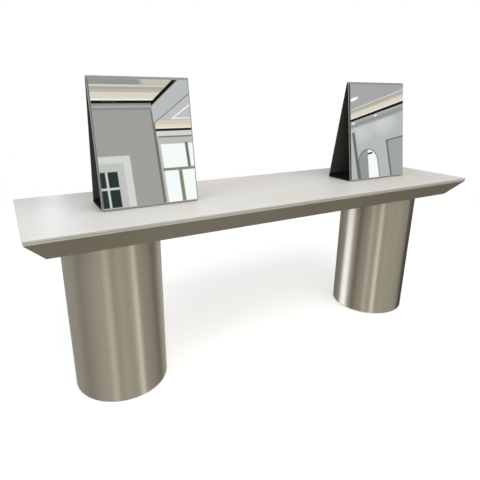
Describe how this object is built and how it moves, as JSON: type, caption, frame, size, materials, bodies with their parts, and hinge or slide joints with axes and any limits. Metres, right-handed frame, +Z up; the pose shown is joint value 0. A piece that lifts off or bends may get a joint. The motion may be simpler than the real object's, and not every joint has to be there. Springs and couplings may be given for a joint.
{
  "type": "double sided salon station",
  "caption": "Shared salon worktop with bevelled edges on drum pedestals, with free-standing A-frame mirrors that face both sides.",
  "frame": {"origin": "on the floor under the centre of the worktop", "axes": "+X along the worktop to the right as seen from the front, -Y is the front, +Z is up"},
  "size_m": [2.2, 0.6, 1.2828],
  "materials": {
    "stone": "honed pale off-white slab",
    "board": "bare plywood",
    "timber": "planed softwood",
    "brushed_stainless": "brushed stainless sheet, grain upright",
    "satin_silver": "satin silver outside, black inside",
    "black_paint": "matt black powder coat",
    "mirror_glass": "silvered glass with ground arrises",
    "foam_tape": "foam mirror tape",
    "rubber": "black rubber",
    "zinc_steel": "zinc plated"
  },
  "bodies": {
    "station": {"worktop_slab": "stone", "front_edge_strip": "stone", "right_edge_strip": "stone", "rear_edge_strip": "stone", "left_edge_strip": "stone", "core_board": "board", "bottom_panel": "board", "front_bearer": "timber", "rear_bearer": "timber", "left_end_bearer": "timber", "right_end_bearer": "timber", "cross_bearers": "timber", "left_leg_block": "timber", "left_drum_shell": "brushed_stainless", "left_top_disc": "board", "left_base_ring": "board", "left_posts": "timber", "left_leg_screws": "zinc_steel", "left_washers": "zinc_steel", "left_foot_nuts": "zinc_steel", "right_leg_block": "timber", "right_drum_shell": "brushed_stainless", "right_top_disc": "board", "right_base_ring": "board", "right_posts": "timber", "right_leg_screws": "zinc_steel", "right_washers": "zinc_steel", "right_foot_nuts": "zinc_steel"},
    "left_mirror": {"left_mirror_stand": "satin_silver", "left_mirror_base": "black_paint", "left_mirror_front_glass": "mirror_glass", "left_mirror_front_tape": "foam_tape", "left_mirror_rear_glass": "mirror_glass", "left_mirror_rear_tape": "foam_tape", "left_mirror_pads": "rubber"},
    "right_mirror": {"right_mirror_stand": "satin_silver", "right_mirror_base": "black_paint", "right_mirror_front_glass": "mirror_glass", "right_mirror_front_tape": "foam_tape", "right_mirror_rear_glass": "mirror_glass", "right_mirror_rear_tape": "foam_tape", "right_mirror_pads": "rubber"},
    "left_rear_leveller": {"left_rear_foot": "zinc_steel"},
    "left_outer_leveller": {"left_outer_foot": "zinc_steel"},
    "left_inner_leveller": {"left_inner_foot": "zinc_steel"},
    "right_front_leveller": {"right_front_foot": "zinc_steel"},
    "right_outer_leveller": {"right_outer_foot": "zinc_steel"},
    "right_inner_leveller": {"right_inner_foot": "zinc_steel"}
  },
  "joints": [
    {"name": "left_mirror_lift", "type": "slide", "parent": "station", "child": "left_mirror", "axis": [0, 0, 1], "range_m": [0, 0.3]},
    {"name": "right_mirror_lift", "type": "slide", "parent": "station", "child": "right_mirror", "axis": [0, 0, 1], "range_m": [0, 0.3]},
    {"name": "left_rear_foot_thread", "type": "slide", "parent": "station", "child": "left_rear_leveller", "axis": [0, 0, -1], "range_m": [0, 0.012]},
    {"name": "left_outer_foot_thread", "type": "slide", "parent": "station", "child": "left_outer_leveller", "axis": [0, 0, -1], "range_m": [0, 0.012]},
    {"name": "left_inner_foot_thread", "type": "slide", "parent": "station", "child": "left_inner_leveller", "axis": [0, 0, -1], "range_m": [0, 0.012]},
    {"name": "right_front_foot_thread", "type": "slide", "parent": "station", "child": "right_front_leveller", "axis": [0, 0, -1], "range_m": [0, 0.012]},
    {"name": "right_outer_foot_thread", "type": "slide", "parent": "station", "child": "right_outer_leveller", "axis": [0, 0, -1], "range_m": [0, 0.012]},
    {"name": "right_inner_foot_thread", "type": "slide", "parent": "station", "child": "right_inner_leveller", "axis": [0, 0, -1], "range_m": [0, 0.012]}
  ]
}
